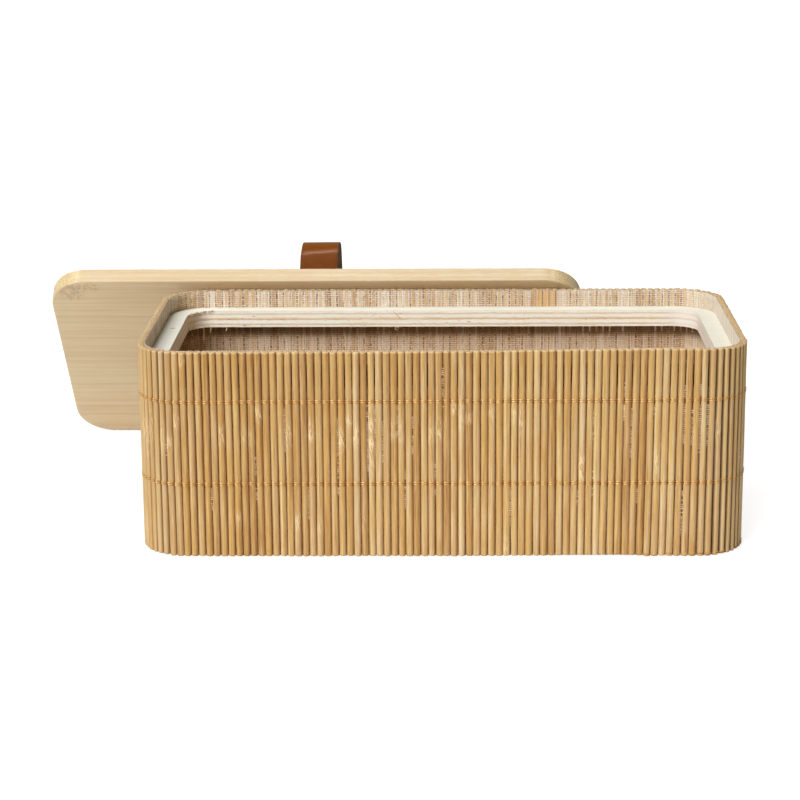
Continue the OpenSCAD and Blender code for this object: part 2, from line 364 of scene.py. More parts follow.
def lining_gauze():
    """Thin gauze glued on the mat: golden sticks show through it, between dark and fuzzy gaps."""
    m = Nodes("lining_gauze")
    s, z, phase, outer = m.values("along", "height", "phase", "outer")
    edge, seam, wall, bare = m.values("edge", "seam", "white", "bare")
    x, y, _ = m.split(m.place())

    def weave(across, along, third, scale, detail=2.0, **more):
        return m.noise(m.join(s * across, z * along, third), scale, detail, **more)

    gap_number = m.math("FLOOR", phase + 0.5)
    off_gap = abs(phase - gap_number)
    tone = m.pick(m.math("FLOOR", phase) + 0.37)
    kind, breadth = m.pick(gap_number + 500.37), m.pick(gap_number + 900.37)
    # The sticks' backs: golden along the middle, paler with glue towards the gaps
    streak = weave(1.0, 0.03, 3.0, 2.2)
    level = (streak - 0.5) * 1.6 + tone * 0.8 - 0.03 + m.span(off_gap, 0.12, 0.42, 0.3, 0.0)
    m.colour = m.ramp(
        level, (0.0, 168, 130, 82), (0.35, 195, 158, 110), (0.7, 210, 184, 148), (1.0, 229, 215, 195)
    )
    # The gaps: dark, or in places filled with pale fluff
    ragged = weave(1.2, 0.3, 17.0, 1.0)
    wide = breadth * 0.05 + ragged * 0.14 + 0.015
    inside = m.span(off_gap - wide, -0.04, 0.05, 1.0, 0.0)
    fuzz = m.span((ragged - 0.5) * 1.4 + kind, 0.5, 0.8)
    m.coat(inside * 0.86, m.mix(fuzz, (114, 90, 72), (206, 192, 186)))
    # Beside the seam the sticks are bare and golden
    bare = bare * m.span(z, 72.0, 80.0, 0.15, 1.0)
    m.coat(inside * bare * 0.6, (160, 116, 68))
    m.coat((1.0 - inside) * bare * 0.75, m.mix(streak, (186, 136, 70), (226, 184, 118)))
    # The net of pale threads over both, tight in some patches and worn in others
    patch = weave(1.0, 1.0, 11.0, 0.09, 3.0)
    stray = weave(0.5, 0.5, 29.0, 1.0)
    lost = weave(0.9, 0.9, 41.0, 1.3, 1.0)
    weft = m.math("SINE", z * (TURN / WEFT_PITCH) + stray * 4.0)
    warp = m.math("SINE", s * (TURN / WARP_PITCH) + stray * 5.0)
    weft = m.span(weft, -0.1, 0.6) * m.span(lost, 0.38, 0.5)
    warp = m.span(warp, 0.2, 0.8) * m.span(lost, 0.6, 0.5)
    # Lower down the net is painted denser and paler, as painted light
    tight = m.span(patch, 0.3, 0.6, 0.3, 0.66) + m.span(z, 68.0, 65.5, 0.0, 0.3)
    net = m.most(weft, warp) * tight
    net = ((weft - net) * inside + net) * (bare * -0.75 + 1.0)
    m.coat(net * 0.9, (240, 230, 218))
    thread = weave(0.16, 1.15, 23.0, 1.0)
    m.coat(m.span(thread, 0.42, 0.26) * 0.3, (150, 112, 76))
    # Painted light makes it whitest on the right wall
    fluff = m.span(weave(1.0, 0.3, 5.0, 1.15, 3.0, rough=0.65), 0.3, 0.6)
    m.coat(m.span(wall, 0.0, 1.0, 0.0, 0.55), m.mix(fluff, (200, 188, 166), (222, 214, 195)))
    # On the left one it is yellower, in broad stripes, with painted shade along the ring
    left = m.span(wall, 0.0, -1.0)
    stripe = m.span(weave(0.16, 0.012, 61.0, 1.0), 0.36, 0.64)
    m.tint(m.mix(stripe, (247, 240, 214), (255, 255, 244)), left)
    m.tint((206, 195, 180), m.span(z, 84.8, 82.2, 0.0, 0.8) * left)
    # Below the ring it is browner, and painted shade darkens it along the ring's foot
    m.tint((247, 240, 231), m.span(z, 74.0, 68.0))
    ring_foot_shade = m.span(z, 74.5, 73.9) * m.span(z, 66.4, 69.6, 0.0, 0.64)
    m.coat(ring_foot_shade * (inside * -0.35 + 1.0), (84, 60, 34))
    # To the right, tufts of it hang in the gaps just under the ring
    hang = m.span(z, 69.4, 70.0) * m.span(z, 72.8, 72.2) * inside
    hang = hang * m.span(kind, 0.3, 0.34, 0.0, 0.8) * m.span(x, 56.0, 68.0) * m.span(y, 0.0, 30.0)
    m.coat(hang, (226, 216, 214))
    # The mat's two ends meet here, with the cut edge of the gauze on one side
    m.coat(edge * 0.8, (216, 202, 190))
    slot = m.span(seam, 0.05, 0.3, 0.9, 0.0) * m.span(z, 72.0, 80.0, 0.3, 1.0)
    m.coat(slot, (66, 46, 32))
    # Outside, slits of it show between the sticks; painted shade makes them darkest over the band where
    # the ring is glued behind it
    speck = weave(1.0, 1.0, 31.0, 1.6)
    slit = m.ramp(speck, (0.35, 190, 152, 110), (0.6, 210, 178, 140), (0.75, 224, 204, 182))
    glued = m.span(z, 72.5, 75.0) * m.span(z, 83.2, 85.0, 1.0, 0.0)
    m.coat(outer, m.mix(glued * m.span(x, -72.0, -50.0, 0.6, 0.88), slit, (44, 28, 16)))
    # Its frayed upper edge
    tuft = m.span(weave(1.0, 0.6, 37.0, 1.3), 0.38, 0.6)
    frayed = m.span(z, BOX_H - 0.9, BOX_H - 0.4, 0.0, 0.8)
    m.coat(frayed, m.mix(tuft, (140, 114, 84), (206, 184, 152)))
    bump = m.bump(thread + net * 0.8, 0.12, 0.6)
    sheen = {"Sheen_Weight": 0.3, "Sheen_Roughness": 0.5, "Sheen_Tint": (1.0, 0.97, 0.92, 1.0)}
    return m.finish(0.88, bump, 0.12, **sheen)


def plywood():
    """Birch plywood: pale face veneers with grain along X, brown and pale plies at the edges."""
    m = Nodes("ring_plywood")
    x, y, z = m.split(m.place())
    # The plies: how deep below the top each shade lies, in mm
    wander = m.noise(m.join(x * 0.1, y * 0.1, z), 0.5, 3.0, rough=0.6)
    ripple = m.noise(m.join(x * 0.35, y * 0.35, z), 0.9, 2.0)
    ply = (ripple - 0.5) * 0.7 + (wander - 0.5) * 0.9 + (RING_TOP - z)
    cream, pale, light = (254, 251, 238), (250, 251, 242), (244, 226, 198)
    shades = (
        (0.0, cream), (0.95, cream), (1.25, light), (1.7, (228, 198, 158)), (1.95, pale),
        (3.15, pale), (3.4, light), (4.3, (214, 176, 118)), (4.55, pale), (5.8, pale),
        (6.05, light), (6.8, (222, 190, 144)), (7.05, pale),
    )
    m.colour = m.ramp(ply / RING_T, *((deep / RING_T, *shade) for deep, shade in shades))
    fibre = m.noise(m.join(x * 0.25, y * 0.25, z * 2.0), 3.0, 3.0)
    m.coat(m.span(fibre, 0.4, 0.8, 0.0, 0.3), (206, 170, 130))
    fade = m.noise(m.join(x * 0.05, y * 0.05, z * 0.4), 1.0, 2.0)
    m.coat(m.span(fade, 0.45, 0.7, 0.0, 0.45), (240, 228, 208))
    knot = m.noise(m.join(x * 0.3, y * 0.3, z), 0.95, 1.0)
    m.coat(m.span(knot, 0.7, 0.78, 0.0, 0.6), (168, 122, 76))
    # On faces turned towards +X the plies are painted flatter and browner: partly saw burn, partly
    # painted shade
    turned, _, up = m.facing()
    m.coat(m.span(turned, 0.35, 0.85) * 0.6, (220, 198, 164))
    # Painted shade greys the plies towards the right arm
    m.coat(m.span(x, 98.0, 112.0, 0.0, 0.6), (232, 226, 218))
    plies = m.colour
    # The top veneer
    face = m.noise(m.join(x * 0.03, y, 0.0), 1.3, 4.0, rough=0.6)
    m.colour = m.ramp(face, (0.3, 221, 219, 202), (0.5, 231, 230, 217), (0.75, 238, 237, 229))
    cloud = m.noise(m.join(x * 0.4, y, 1.0), 0.06, 2.0)
    m.coat(m.span(cloud, 0.4, 0.7, 0.0, 0.3), (238, 228, 206))
    # Painted shade greys the veneer towards the right arm
    m.tint((244, 242, 240), m.span(x, 104.0, 122.0))
    # Painted shade darkens the left arm along the wall
    m.tint((186, 174, 152), m.span(x, -123.9, -126.7, 0.0, 0.85))
    # A small dark split in the veneer of the left arm
    split = ((x + 122.6) / 1.9) ** 2.0 + ((y - 17.0) / 0.9) ** 2.0
    m.coat(m.span(split, 1.0, 0.4), (238, 216, 160))
    m.coat(m.span(split, 0.6, 0.15), (140, 98, 54))
    flat = m.span(abs(up), 0.6, 0.8)
    m.colour = m.mix(flat, plies, m.colour)
    return m.finish(0.6, m.bump(m.mix(flat, fibre, face), 0.06, 0.6), 0.3)


def base_wood():
    """Thin board with an oiled, slightly darker grain along X."""
    m = Nodes("base_wood")
    x, y, z = m.split(m.place())
    grain = m.noise(m.join(x * 0.03, y, z), 0.9, 4.0, rough=0.6, distortion=0.3)
    fleck = m.noise(m.join(x * 0.2, y, z), 2.6, 2.0)
    m.colour = m.ramp(grain, (0.3, 176, 136, 92), (0.5, 200, 162, 114), (0.7, 216, 184, 138))
    m.coat(m.span(fleck, 0.55, 0.75, 0.0, 0.4), (150, 108, 66))
    return m.finish(0.55, m.bump(grain, 0.08, 0.6), 0.3)


def lid_bamboo():
    """Pressed bamboo board: fine grain along the lid, long strips on its edge, one grey mark."""
    m = Nodes("lid_bamboo")
    back = tuple(LID_MATRIX.inverted().translation)
    local = m.add("Mapping", {0: m.place(), 1: back, 2: (TILT, 0.0, 0.0)})
    x, y, z = m.split(local)
    fine = m.noise(m.join(x * 0.012, y, z), 2.6, 4.0, rough=0.62)
    strip = m.noise(m.join(x * 0.004, y, z), 0.42, 2.0)
    cloud = m.noise(m.join(x * 0.25, y, z), 0.035, 2.0)
    level = fine * 0.45 + strip * 0.35 + cloud * 0.2
    m.colour = m.ramp(level, (0.36, 216, 187, 144), (0.5, 227, 204, 165), (0.64, 236, 220, 186))
    dash = m.noise(m.join(x * 0.12, y, z), 3.2, 2.0)
    m.coat(m.span(dash, 0.6, 0.8, 0.0, 0.3), (196, 156, 106))
    # The cut rim is a little darker than the faces, and streaked
    side = m.span(abs(y), LID_W / 2 - 0.6, LID_W / 2 - 0.2) * 0.85
    m.tint((228, 227, 225), side)
    stave = m.noise(m.join(x * 0.2, y, z), 1.1, 2.0)
    m.coat(m.span(stave, 0.42, 0.62) * side * 0.35, (206, 168, 116))
    # Round the corners the bundles of the end grain show as specks
    end = m.span(abs(m.facing()[0]), 0.03, 0.6)
    speck = m.noise(local, 2.1, 2.0, rough=0.7)
    grain = m.ramp(speck, (0.38, 166, 134, 82), (0.5, 204, 181, 131), (0.62, 220, 201, 155))
    m.coat(end * 0.85, grain)
    # A grey growth mark near a corner of the underside
    swirl = m.noise(m.join(x, y * 0.6, z), 0.62, 3.0, rough=0.65, distortion=0.8)
    here = m.span(swirl, 0.44, 0.56) * (1.0 - m.most(side, end)) * m.span(z, 5.0, 2.0)
    for across, up, wide, tall, shade in (
        (-116.0, -54.5, 6.5, 8.0, (160, 134, 104)),
        (-107.0, -57.0, 5.5, 3.5, (184, 140, 88)),
    ):
        spot = ((x - across) / wide) ** 2.0 + ((y - up) / tall) ** 2.0
        m.coat(m.span(spot, 0.2, 1.2, 1.0, 0.0) * here * 0.42, shade)
    rough = m.span(fine, 0.3, 0.7, 0.5, 0.38, smooth=False)
    return m.finish(rough, m.bump(fine, 0.04, 0.5), 0.4)


def strap_leather():
    """Vegetable-tanned leather: fine pebbled grain, darker burnished edges."""
    m = Nodes("strap_leather")
    place, (edge, bend) = m.place(), m.values("edge", "bend")
    pebble = m.add("TexVoronoi", {"Vector": place, "Scale": 1.9}, feature="DISTANCE_TO_EDGE")
    crease = m.noise(place, 0.5, 4.0, rough=0.6)
    m.colour = m.ramp(m.noise(place, 0.09, 2.0), (0.35, 99, 51, 7), (0.65, 106, 56, 9))
    m.coat(m.span(crease, 0.5, 0.75, 0.0, 0.3), (92, 48, 13))
    # Where it is bent over the crown it is lighter: partly the stretched grain, partly painted sheen
    # from the light above
    m.coat(m.span(bend, 0.1, 0.5, 0.0, 0.7), (124, 67, 14))
    # The cut edges are burnished dark, and the flesh side within the loop is dull and greyer
    side = m.span(edge, 0.3, 1.0)
    m.coat(side, (84, 73, 62))
    m.coat(m.span(edge, 1.2, 2.0), (150, 124, 98))
    rough = m.span(crease, 0.3, 0.7, 0.18, 0.23, smooth=False) + side * 0.5
    rough += m.span(bend, 0.45, 1.0, 0.0, 0.3)
    bump = m.bump(m.span(pebble, 0.0, 0.25) + crease * 0.8, 0.03, 0.25)
    return m.finish(rough, bump, 0.15, Specular_Tint=(1.0, 0.42, 0.26, 1.0))


def screw_brass():
    """Brass, a little hazy, with fine scratches."""
    m = Nodes("screw_brass")
    place = m.place()
    scratch = m.noise(place, 9.0, 2.0)
    m.colour = m.ramp(m.noise(place, 1.4, 3.0), (0.35, 172, 128, 62), (0.65, 214, 176, 104))
    rough = m.span(scratch, 0.3, 0.7, 0.24, 0.42, smooth=False)
    return m.finish(rough, m.bump(scratch, 0.01, 0.4), Metallic=1.0)


def hair(name, dark, light):
    """Dull plant fibre, each hair in a tone of its own."""
    m = Nodes(name)
    fuzz = m.noise(m.place(), 3.0, 2.0)
    level = m.math("MULTIPLY_ADD", fuzz - 0.5, 0.8, m.pick(*m.values("along")), clamp=True)
    m.colour = m.ramp(level, (0.0, *dark), (1.0, *light))
    return m.finish(0.8, m.bump(fuzz, 0.03), 0.2)


# ---- bamboo sticks

rng = np.random.default_rng(41)
SIDES = 20
# Heights of a stick's rings: close at its rounded ends, and even between
ENDS = np.array([0.0, 0.08, 0.3, 0.9])
RINGS = np.concatenate([ENDS, np.linspace(3.0, BOX_H - 3.0, 27), BOX_H - ENDS[::-1]])
# A stick without a mark has it far below the table
NO_SCAR, PLAIN_TONE = -200.0, 0.49

radius_of = np.clip(STICK_R + 0.08 + rng.normal(0.0, 0.03, STICKS), 1.35, 1.5)
tone_of = np.clip(PLAIN_TONE + rng.normal(0.0, 0.08, STICKS), 0.25, 0.72)
seed_of = rng.uniform(0.0, 400.0, STICKS)
lean_of = rng.normal(0.0, 0.05, STICKS)
bow_of = rng.normal(0.0, 0.045, (STICKS, 2))
bow_turn = rng.uniform(0.0, TURN, (STICKS, 2))
top_of = BOX_H - rng.uniform(0.0, 0.24, STICKS)
foot_of = rng.uniform(0.0, 0.2, STICKS)
# The culm's nodes fall at like heights in neighbouring sticks
scar_of = np.where(rng.random(STICKS) < 0.3, rng.normal(54.0, 6.0, STICKS), NO_SCAR)
reach_of = rng.uniform(2.5, 6.0, STICKS)
force_of = rng.uniform(0.3, 1.0, STICKS)

# On the front each mark is known: place along X, height, half length and strength
FRONT_MARKS = (
    (-76.9, 63.4, 4.1, 1.0), (-112.5, 59.8, 2.6, 1.0), (-115.4, 50.4, 4.2, 0.6), (-92.7, 53.4, 4.2, 0.6),
    (-83.0, 53.0, 3.7, 0.35), (-80.7, 52.7, 3.5, 0.35), (-64.2, 52.9, 4.6, 1.0), (-54.8, 55.3, 3.9, 0.9),
    (-42.2, 51.8, 4.5, 1.0), (-86.3, 16.4, 3.6, 0.5), (-61.2, 15.1, 3.1, 0.9), (-51.7, 13.7, 4.0, 0.6),
    (-108.8, 85.8, 2.6, 0.4), (-38.7, 59.9, 2.0, 1.0), (-36.0, 53.7, 4.6, 1.0), (-29.5, 52.0, 12.0, 1.0),
    (-20.0, 56.1, 4.4, 0.6), (-17.1, 54.4, 4.8, 0.5), (-4.4, 53.9, 6.6, 0.5), (-1.2, 55.7, 4.8, 0.9),
    (5.5, 65.5, 2.4, 0.9), (8.1, 61.5, 5.9, 0.6), (11.6, 61.3, 2.2, 0.9), (21.0, 62.8, 3.7, 0.5),
    (30.3, 62.8, 3.7, 0.9), (33.8, 60.4, 6.1, 0.6), (-32.7, 14.6, 4.5, 0.5), (27.7, 4.5, 3.8, 0.7),
    (59.1, 38.9, 5.7, 1.0), (91.0, 40.6, 7.5, 0.7), (115.7, 55.4, 4.8, 0.6), (-119.2, 52.0, 6.0, 0.6),
    (-122.2, 56.0, 6.0, 0.5), (-124.6, 50.0, 7.0, 0.6), (-126.6, 54.0, 5.0, 0.5),
)
DARK_STICKS = (-100.2, -80.3, -32.8, -10.7, 1.0, 11.6, 46.2, 84.0)
PALE_STICKS = (-29.6, -26.7, 7.9, 30.1, 58.3, 67.2)

# Place along X of each stick of the front and its two corners, and a far one for the others
ELSEWHERE = 1e3
front_x = np.where(np.isin(SECTION_OF, (7, 0, 1)), on_line(PLACES)[0][:, 0], ELSEWHERE)
is_front = front_x < ELSEWHERE


def by_front(places, amounts, limit=ELSEWHERE, others=0.0):
    """Amounts along X for the sticks of the front; the others get the amount at one place."""
    return np.interp(np.where(front_x < limit, front_x, others), places, amounts)


scar_of[is_front] = NO_SCAR
for at, height, half, strength in FRONT_MARKS:
    i = np.abs(front_x - at).argmin()
    scar_of[i], reach_of[i], force_of[i] = height, half * 1.35, strength
# The tone drifts along the front: partly the sticks' own tone, partly painted shade that is darkest left
# of the middle
tone_of += by_front(
    [-122.0, -108.0, -90.0, -70.0, -40.0, 0.0, 30.0, 45.0, 66.0, 86.0, 130.0],
    [0.06, 0.0, -0.13, -0.11, -0.03, 0.07, 0.07, 0.03, 0.0, 0.07, 0.06],
)
for places, change in ((DARK_STICKS, -0.2), (PALE_STICKS, 0.2)):
    for at in places:
        tone_of[np.abs(front_x - at).argmin()] = PLAIN_TONE + change
# Towards the right end of the front the sticks lean outwards
lean_of += by_front([50.0, 80.0], [0.0, 0.32], limit=110.0)
# The front's upper edge climbs a little from left to right
RIM_X = [60.0, 90.0, 116.0, 126.0]
RIM_RISE = [0.6, 0.95, 0.7, 0.2]
climb = np.interp(front_x, [-120.0, 0.0, *RIM_X], [-0.3, -0.1, *RIM_RISE])
top_of += np.where(is_front, climb, -0.05)
# Its feet stand a little off the table right of the middle
foot_of += by_front([15.0, 55.0, 74.0, 86.0, 100.0], [0.0, 0.5, 0.75, 0.3, 0.0])
# They are a little thicker there, too
radius_of += by_front([-60.0, 0.0, 80.0, 110.0], [0.0, 0.03, 0.03, 0.0], limit=110.0, others=-200.0)
# They drift sideways near the right corner
shift_of = by_front([50.0, 80.0, 100.0, 109.0, 122.0, 127.0], [0.0, -0.12, -0.12, 0.15, 0.35, 0.1])


def drift(i, z):
    """How far stick i stands to the side of its place at height z: it leans and bows a little."""
    lean = lean_of[i] * (z / BOX_H - 0.5) * 2 + shift_of[i]
    bow = bow_of[i, 0] * np.sin(z / 13.0 + bow_turn[i, 0])
    bow += bow_of[i, 1] * np.sin(z / 27.0 + bow_turn[i, 1])
    return lean + np.clip(bow, -0.12, 0.12)


def squared(value):
    """Pushes a sine or cosine outwards, for a section between a circle and a square."""
    return np.sign(value) * np.abs(value) ** 0.92


def sticks(section, material):
    """All the sticks of one section of the wall, as one mesh."""
    angle = np.arange(SIDES) / SIDES * TURN
    signed = (angle + math.pi) % TURN - math.pi
    shape = Shape()
    for i in np.flatnonzero(SECTION_OF == section):
        spot, out, ahead = on_line(PLACES[i])
        seed, z = seed_of[i], foot_of[i] + RINGS / BOX_H * (top_of[i] - foot_of[i])
        end = np.minimum(z - z[0], z[-1] - z)
        rounded = np.interp(end, [0.0, 0.08, 0.3], [0.14, 0.04, 0.0])
        waist = 0.032 * (1 + math.sin(13.0 * seed)) * np.exp(-(((z - 79.0) / 5.5) ** 2))
        swell = 0.05 * np.exp(-(((z - scar_of[i]) / 2.2) ** 2))
        uneven = 0.02 * np.cos(2 * angle + seed) + 0.012 * np.cos(3 * angle + 2 * seed)
        slow = 0.015 * np.sin(z / 9.0 + seed) + 0.01 * np.sin(z / 3.7 + 3 * seed)
        r = radius_of[i] * (1 + uneven) + (slow + swell - rounded - waist)[:, None]
        side = drift(i, z)[:, None]
        u, v = side + r * squared(np.sin(angle)), r * squared(np.cos(angle))
        plan = spot + u[..., None] * ahead + v[..., None] * out
        rings = np.dstack([plan, np.broadcast_to(z[:, None], u.shape)])
        tips = np.column_stack([spot + side[[0, -1]] * ahead, [z[0], z[-1] + 0.02]])
        shape.tube(
            rings, tips, flip=True, tone=tone_of[i], seed=seed, scar=scar_of[i],
            reach=reach_of[i], force=force_of[i], top=top_of[i], around=signed,
        )
    name = SECTIONS[section] + "_sticks"
    return shape.make("bamboo_" + name, material, "box", "bamboo_sticks", name)


# ---- stitching

PROFILE = np.arange(8) / 8 * TURN
FRONT = np.radians(np.linspace(-72.0, 72.0, 13))
STRAND_R, PLY_LENGTH = 0.21, 1.7


def row_sag(i):
    """The rows don't run quite level: on the front they climb from left to right."""
    return float(np.interp(on_line(PLACES[i])[0][0], [-120.0, 120.0], [-0.35, 0.3]))


def strand_points(row, lower, indices, reach=0.12):
    """One strand of a row over the given sticks: round each front, down into each gap."""
    rows = []
    for i in indices:
        r = radius_of[i] + reach
        tau = np.append(r * squared(np.sin(FRONT)) + drift(i, row), PITCH / 2)
        rho = np.append(r * squared(np.cos(FRONT)), 0.3)
        spread = np.append(np.cos(FRONT * 0.9) ** 0.6, 0.3)
        apart = (-1 if lower else 1) * (STRAND_PITCH / 2 + 0.05)
        z = row + row_sag(i) + (0.1 * math.sin(seed_of[i] * 11.0) + apart) * spread
        rows.append(np.column_stack([PLACES[i] + tau, rho, z]))
    path = np.concatenate(rows)
    spot, out, _ = on_line(path[:, 0], path[:, 1])
    return np.column_stack([spot, path[:, 2]]), np.column_stack([out, np.zeros(len(out))]), path


def stitching(name, row, material, node):
    """A row of stitches: two strands of two plies, and a wrapped knot in each gap."""
    shape = Shape()
    cos, sin = np.cos(PROFILE)[:, None], np.sin(PROFILE)[:, None]
    for lower in (False, True):
        centres, normals, path = strand_points(row, lower, range(STICKS))
        step = np.linalg.norm(np.diff(centres, axis=0, prepend=centres[:1]), axis=1)
        twist = PROFILE - (np.cumsum(step) / PLY_LENGTH * math.pi)[:, None]
        r = STRAND_R * (1 + 0.16 * np.cos(2 * twist))[..., None]
        rings = centres[:, None] + r * cos * 0.9 * normals[:, None] + r * sin * UP
        across = (path[:, 0] - np.repeat(PLACES, len(FRONT) + 1)) / STICK_R
        # Where a strand dives into a gap it takes the knots' dark colour, partly as painted shade
        dark = np.clip(1.4 - path[:, 1] / 0.8, 0.0, 1.0)
        shape.tube(
            rings, closed=True, knot=dark[:, None], along=path[:, :1],
            lift=1.0 + lower, side=across[:, None],
        )
    turn = (np.arange(12) / 12 * TURN)[:, None]
    for i in range(STICKS):
        size, shift, lean = (math.sin(seed_of[i] * k) for k in (7.0, 3.0, 5.0))
        spot, out, ahead = on_line(PLACES[i] + PITCH / 2)
        middle = np.array([*(spot + 0.72 * out), row + row_sag(i) + 0.15 * shift])
        outward, sideways = np.array([*out, 0.0]), np.array([*ahead, 0.0])
        tall = 0.66 * (1.0 + 0.12 * size) * (UP + sideways * 0.12 * lean)
        spoke = 0.3 * np.cos(turn) * outward + np.sin(turn) * tall
        thick = 0.22 * cos * unit(spoke)[:, None] + 0.52 * sin * sideways
        rings = (middle + spoke)[:, None] + thick
        shape.tube(rings, closed=True, knot=0.95, along=PLACES[i], lift=rings[..., 2] - row, side=0.0)
    return shape.make(name, material, "box", "stitch_thread", node)


# ---- lining

# The rear wall's gap lines wander from their even pitch: place along X and offset
REAR_X = (-100.0, -87.0, -58.0, -16.0, 0.0, 24.0, 38.0, 52.0, 66.0, 82.0, 96.0, 110.0, 124.0, 130.0)
REAR_SLIP = (0.0, 0.4, 0.4, 0.0, -0.35, -0.65, -0.95, -1.15, -1.45, -1.6, -2.1, -2.7, -2.6, -2.4)


def lining(material):
    """The gauze as one closed sheet: it lies on the backs of the sticks and sinks into the gaps."""
    per_stick = 6
    phase = np.arange(STICKS * per_stick + 1) / per_stick
    columns = len(phase)
    s = SEAM_S + SEAM_GAP / 2 + phase * PITCH
    heights = np.concatenate([[0.05, 0.7, 1.3], np.linspace(3.6, BOX_H - 0.12, 24)])
    in_gap = 0.5 + 0.5 * np.cos(TURN * phase)
    x, y = on_line(s)[0].T
    rear = y > BOX_W / 2 - 12.0
    drawn = phase + np.where(rear, np.interp(x, REAR_X, REAR_SLIP), 0.0) / PITCH
    from_start = phase * PITCH - SEAM_GAP / 2
    seam = np.minimum(np.minimum(np.abs(from_start), PERIMETER - np.abs(from_start)), 5.0)
    edge = (np.arange(columns) > columns - 3).astype(float)
    bare = np.interp(from_start, [0.0, 0.3, 10.5, 12.0], [0.0, 1.0, 1.0, 0.0])
    white = np.interp(x, [-125.0, -114.0, 112.0, 124.0], [-1.0, 0.0, 0.0, 1.0])
    # Its upper edge frays: over part of the front it stands above the sticks
    proud = np.interp(x, [-110.0, -70.0, -30.0, 0.0, *RIM_X], [0.0, 0.2, 0.15, 0.0, *RIM_RISE])
    ragged = 0.1 * np.sin(s * 1.9) * np.sin(s * 0.37 + 1)
    ragged += np.where(y < 0, proud, 0.0) * (0.85 + 0.15 * np.sin(s * 2.7))
    ragged -= 0.12 * np.cos(TURN * phase) * (x < -100.0)
    # Between the rows it bulges into the gaps on the right half of the front
    slack = np.where(y < 0, np.interp(x, [15.0, 45.0, 100.0, 110.0], [0.0, 0.55, 0.55, 0.0]), 0.0)
    rings, height, outside = [], [], []
    for depth, zs, outer in ((LINING_IN, heights, 1.0), (WALL_T, heights[::-1], 0.0)):
        for z in zs:
            # At the foot the glued gauze fills the gaps
            foot = 0.85 * np.interp(z, [0.7, 1.3], [1.0, 0.0])
            fill = foot + slack * np.interp(z, [30.0, 40.0, 60.0, 68.0], [0.0, 1.0, 1.0, 0.0])
            out = STICK_R - depth + 0.1 * in_gap + outer * fill * in_gap**2
            up = np.full(columns, z) + (ragged if z == heights[-1] else 0.0)
            rings.append(np.column_stack([on_line(s, out)[0], up]))
            height.append([z])
            outside.append([outer])
    shape = Shape()
    shape.tube(
        np.array(rings), closed=True, flip=True, along=s, height=height, phase=drawn,
        outer=outside, edge=edge, seam=seam, white=white, bare=bare,
    )
    made = shape.make("gauze_lining", material, "box", "lining", "lining_cloth")


# ---- fibres


def fibres(name, paths, material, slot):
    """Thin curved hairs: each path is its points in mm, its radius, and 1 where its tips are pointed."""
    shape = Shape()
    turn = (np.arange(6) / 6 * TURN)[:, None]
    for number, (path, radius, pointed) in enumerate(paths):
        ahead = unit(np.gradient(path, axis=0))
        helper = UP if abs(ahead[0, 2]) < 0.7 else np.array([1.0, 0.0, 0.0])
        across = unit(np.cross(ahead, helper))
        ring = np.cos(turn) * across[:, None] + np.sin(turn) * np.cross(ahead, across)[:, None]
        r = radius * (1 - pointed * 0.75 * np.linspace(-1.0, 1.0, len(path)) ** 2)
        shape.tube(path[:, None] + r[:, None, None] * ring, path[[0, -1]], along=float(number))
    return shape.make(name, material, "box", slot)


# Gaps of the front where the weft shows for certain, as place along X and lowest and highest Z
LADDERS = (
    (-43.3, 42.0, 62.0), (-30.8, 38.0, 67.0), (-27.2, 44.0, 67.0), (-24.3, 42.0, 60.0),
    (75.9, 60.0, 67.5), (79.3, 44.0, 66.0), (103.0, 50.0, 75.0), (107.4, 46.0, 76.0),
    (111.6, 48.0, 68.0), (64.0, 52.0, 64.0), (-12.4, 46.0, 62.0),
)


def ladders():
    """Short lengths of the gauze's weft that bulge out between the sticks like a ladder's rungs."""
    draw = np.random.default_rng(17)
    spans = []
    for i in np.flatnonzero(draw.random(STICKS) < 0.3):
        low = draw.uniform(2.0, 70.0)
        spans.append((i, low, min(low + draw.uniform(5.0, 20.0), BOX_H - 5.0)))
    gap_x = np.where(is_front, on_line(PLACES + PITCH / 2)[0][:, 0], ELSEWHERE)
    for at, low, high in LADDERS:
        spans.append((np.abs(gap_x - at).argmin(), low, high))
    paths = []
    share = np.linspace(-1.0, 1.0, 5)
    for i, low, high in spans:
        spot, out, ahead = on_line(PLACES[i] + PITCH / 2)
        for z in np.arange(low, high, WEFT_PITCH):
            if min(abs(z - UPPER_ROW), abs(z - LOWER_ROW)) < 1.6 or draw.random() < 0.15:
                continue
            side = (drift(i, z) + drift((i + 1) % STICKS, z)) / 2
            bow = draw.uniform(0.75, 1.1) - 0.25 * share**2
            rise = draw.normal(0.0, 0.06) * share + draw.normal(0.0, 0.05)
            plan = spot + (side + 0.5 * share)[:, None] * ahead + bow[:, None] * out
            paths.append((np.column_stack([plan, z + rise]), 0.2, 0.6))
    return fibres("weft_ladders", paths, hair("weft_thread", (206, 168, 118), (250, 230, 198)), "lining")


